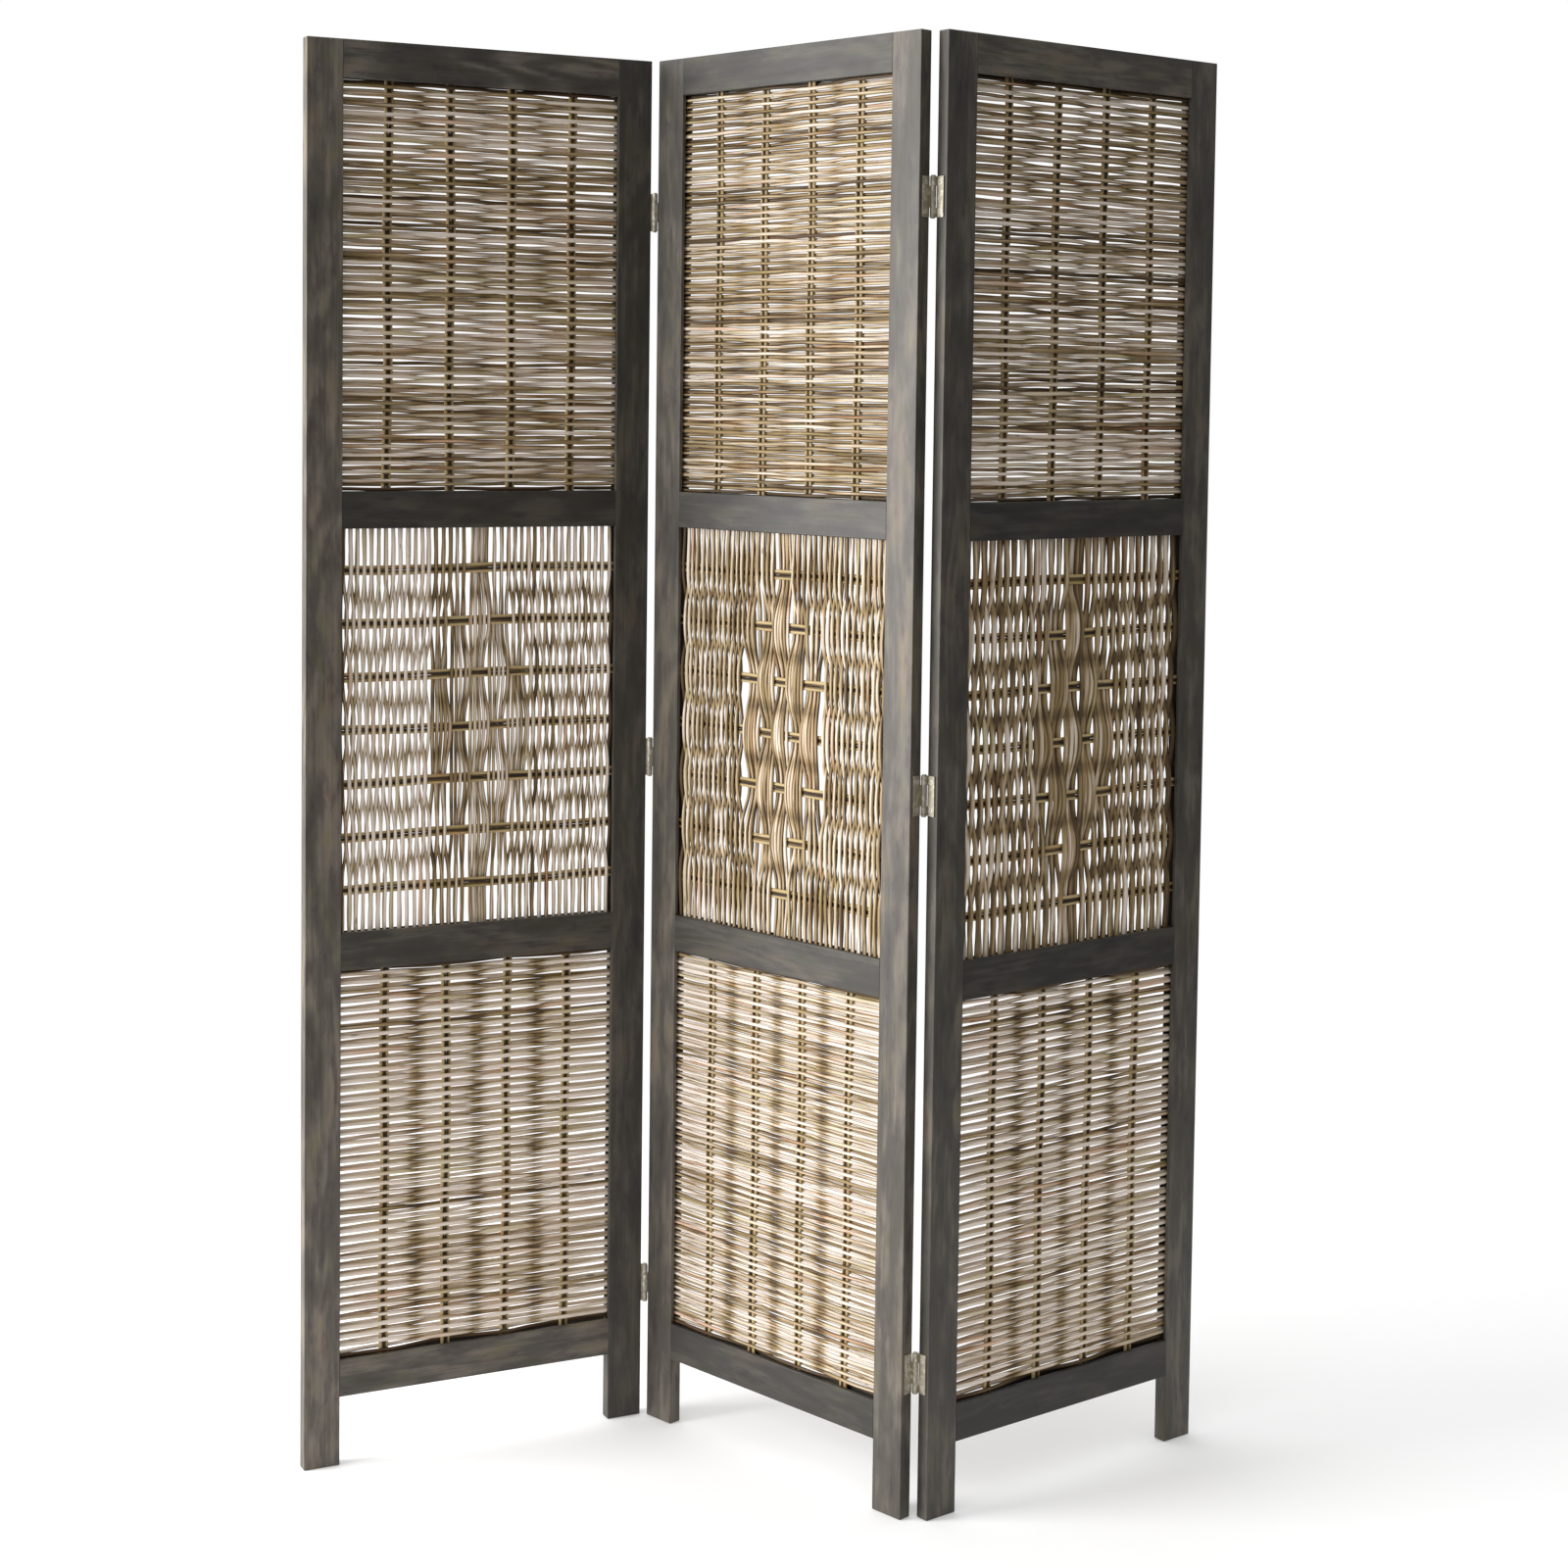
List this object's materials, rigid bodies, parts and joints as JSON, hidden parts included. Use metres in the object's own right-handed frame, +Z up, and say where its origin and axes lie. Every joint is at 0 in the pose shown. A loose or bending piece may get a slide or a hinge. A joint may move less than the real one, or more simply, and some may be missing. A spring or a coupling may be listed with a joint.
{
  "type": "folding room divider screen",
  "caption": "Free-standing folding screen in a zigzag: stained wood panel frames on legs, filled with woven willow inserts and joined by butt hinges.",
  "frame": {"origin": "on the floor, at the centre of the bounding box of the screen as it stands in its zigzag", "axes": "+Z up along the stiles; the screen faces -Y; +X runs from the left panel to the right panel as seen from the front"},
  "size_m": [1.087, 0.3254, 1.7],
  "materials": {
    "stained_wood": "dark grey-brown stain, satin",
    "willow_rods": "smoked willow with its bark on, satin",
    "willow_sticks": "smoked willow, satin",
    "dowel_wood": "bare beech",
    "hinge_metal": "aged, dull",
    "screw_metal": "dull plated"
  },
  "bodies": {
    "middle_panel": {"middle_stile_left": "stained_wood", "middle_stile_right": "stained_wood", "middle_top_rail": "stained_wood", "middle_upper_rail": "stained_wood", "middle_lower_rail": "stained_wood", "middle_bottom_rail": "stained_wood", "middle_dowels": "dowel_wood", "middle_upper_rods": "willow_rods", "middle_upper_sticks": "willow_sticks", "middle_middle_rods": "willow_rods", "middle_middle_sticks": "willow_sticks", "middle_lower_rods": "willow_rods", "middle_lower_sticks": "willow_sticks", "middle_screws": "screw_metal", "left_fold_top_middle_leaf": "hinge_metal", "left_fold_middle_middle_leaf": "hinge_metal", "left_fold_bottom_middle_leaf": "hinge_metal", "right_fold_top_middle_leaf": "hinge_metal", "right_fold_middle_middle_leaf": "hinge_metal", "right_fold_bottom_middle_leaf": "hinge_metal"},
    "left_panel": {"left_stile_left": "stained_wood", "left_stile_right": "stained_wood", "left_top_rail": "stained_wood", "left_upper_rail": "stained_wood", "left_lower_rail": "stained_wood", "left_bottom_rail": "stained_wood", "left_dowels": "dowel_wood", "left_upper_rods": "willow_rods", "left_upper_sticks": "willow_sticks", "left_middle_rods": "willow_rods", "left_middle_sticks": "willow_sticks", "left_lower_rods": "willow_rods", "left_lower_sticks": "willow_sticks", "left_screws": "screw_metal", "left_fold_top_side_leaf": "hinge_metal", "left_fold_middle_side_leaf": "hinge_metal", "left_fold_bottom_side_leaf": "hinge_metal", "left_fold_pins": "hinge_metal"},
    "right_panel": {"right_stile_left": "stained_wood", "right_stile_right": "stained_wood", "right_top_rail": "stained_wood", "right_upper_rail": "stained_wood", "right_lower_rail": "stained_wood", "right_bottom_rail": "stained_wood", "right_dowels": "dowel_wood", "right_upper_rods": "willow_rods", "right_upper_sticks": "willow_sticks", "right_middle_rods": "willow_rods", "right_middle_sticks": "willow_sticks", "right_lower_rods": "willow_rods", "right_lower_sticks": "willow_sticks", "right_screws": "screw_metal", "right_fold_top_side_leaf": "hinge_metal", "right_fold_middle_side_leaf": "hinge_metal", "right_fold_bottom_side_leaf": "hinge_metal", "right_fold_pins": "hinge_metal"}
  },
  "joints": [
    {"name": "left_fold", "type": "hinge", "parent": "middle_panel", "child": "left_panel", "pos_m": [-0.14095, 0.14886, 0], "axis": [0, 0, 1], "range_deg": [-71, 108]},
    {"name": "right_fold", "type": "hinge", "parent": "middle_panel", "child": "right_panel", "pos_m": [0.18644, -0.15166, 0], "axis": [0, 0, 1], "range_deg": [-83, 96]}
  ]
}
